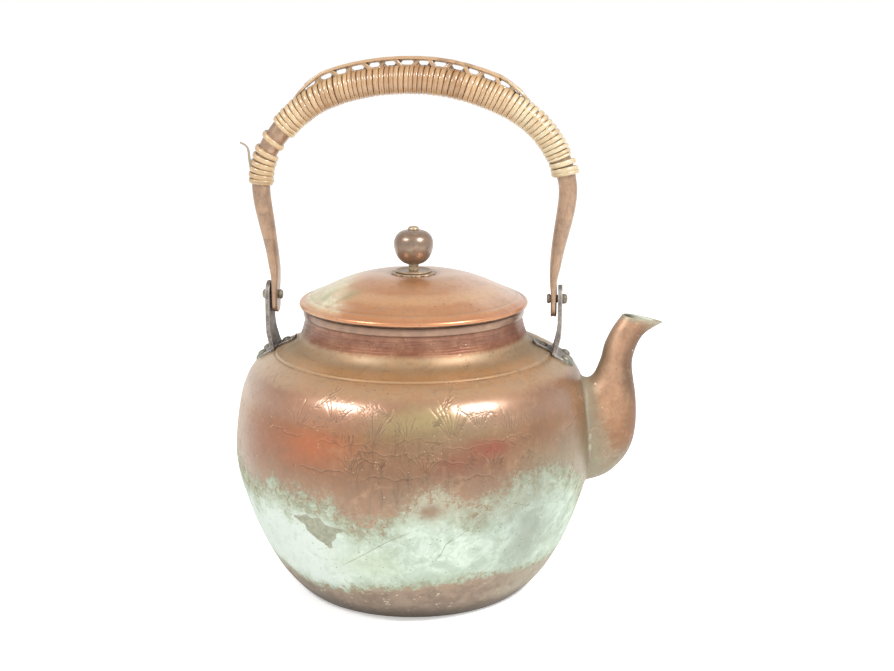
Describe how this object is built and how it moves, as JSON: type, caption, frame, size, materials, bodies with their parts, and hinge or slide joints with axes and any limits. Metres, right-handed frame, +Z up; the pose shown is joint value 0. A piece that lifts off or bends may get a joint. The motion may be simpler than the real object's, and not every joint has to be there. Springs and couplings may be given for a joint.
{
  "type": "copper kettle",
  "caption": "Round-bodied copper kettle with a curved spout, a lift-off domed lid with a turning knob, and a swinging bail handle bound in rattan.",
  "frame": {"origin": "centre of the base, on the surface the kettle stands on", "axes": "+Z up along the body's axis, +X towards the spout, handle pivots on a line parallel to X"},
  "size_m": [0.2139, 0.18, 0.2644],
  "materials": {
    "copper_body": "aged copper with mineral bloom",
    "copper_rim": "worn copper",
    "copper_spout": "aged copper",
    "solder": "dull brazed",
    "lug_metal": "dark oxidised",
    "pin_metal": "dark oxidised",
    "copper_lid": "worn copper",
    "copper_knob": "dark brown copper",
    "copper_handle": "brown copper",
    "rattan": "varnished rattan peel"
  },
  "bodies": {
    "kettle": {"body_shell": "copper_body", "base_plate": "copper_body", "neck_rim_ring": "copper_rim", "spout": "copper_spout", "spout_seam": "solder", "lug_left": "lug_metal", "lug_right": "lug_metal", "lug_rivets_left": "lug_metal", "lug_rivets_right": "lug_metal", "hinge_pin_left": "pin_metal", "hinge_pin_right": "pin_metal"},
    "lid": {"lid_shell": "copper_lid", "lid_collar": "copper_lid", "lid_rosette": "pin_metal", "knob_stem": "copper_knob", "stem_rove": "copper_knob"},
    "knob": {"lid_knob": "copper_knob"},
    "handle": {"handle_tube": "copper_handle", "rattan_wrap": "rattan", "rattan_lacing": "rattan", "rattan_runner": "rattan", "rattan_binding_left": "rattan", "rattan_binding_right": "rattan", "rattan_loose_end": "rattan"}
  },
  "joints": [
    {"name": "handle_swing", "type": "hinge", "parent": "kettle", "child": "handle", "pos_m": [0, 0, 0.1466], "axis": [1, 0, 0], "range_deg": [-115, 115]},
    {"name": "lid_lift", "type": "slide", "parent": "kettle", "child": "lid", "axis": [0, 0, 1], "range_m": [0, 0.055]},
    {"name": "knob_turn", "type": "hinge", "parent": "lid", "child": "knob", "pos_m": [0, 0, 0.1718], "axis": [0, 0, 1], "continuous": true}
  ]
}
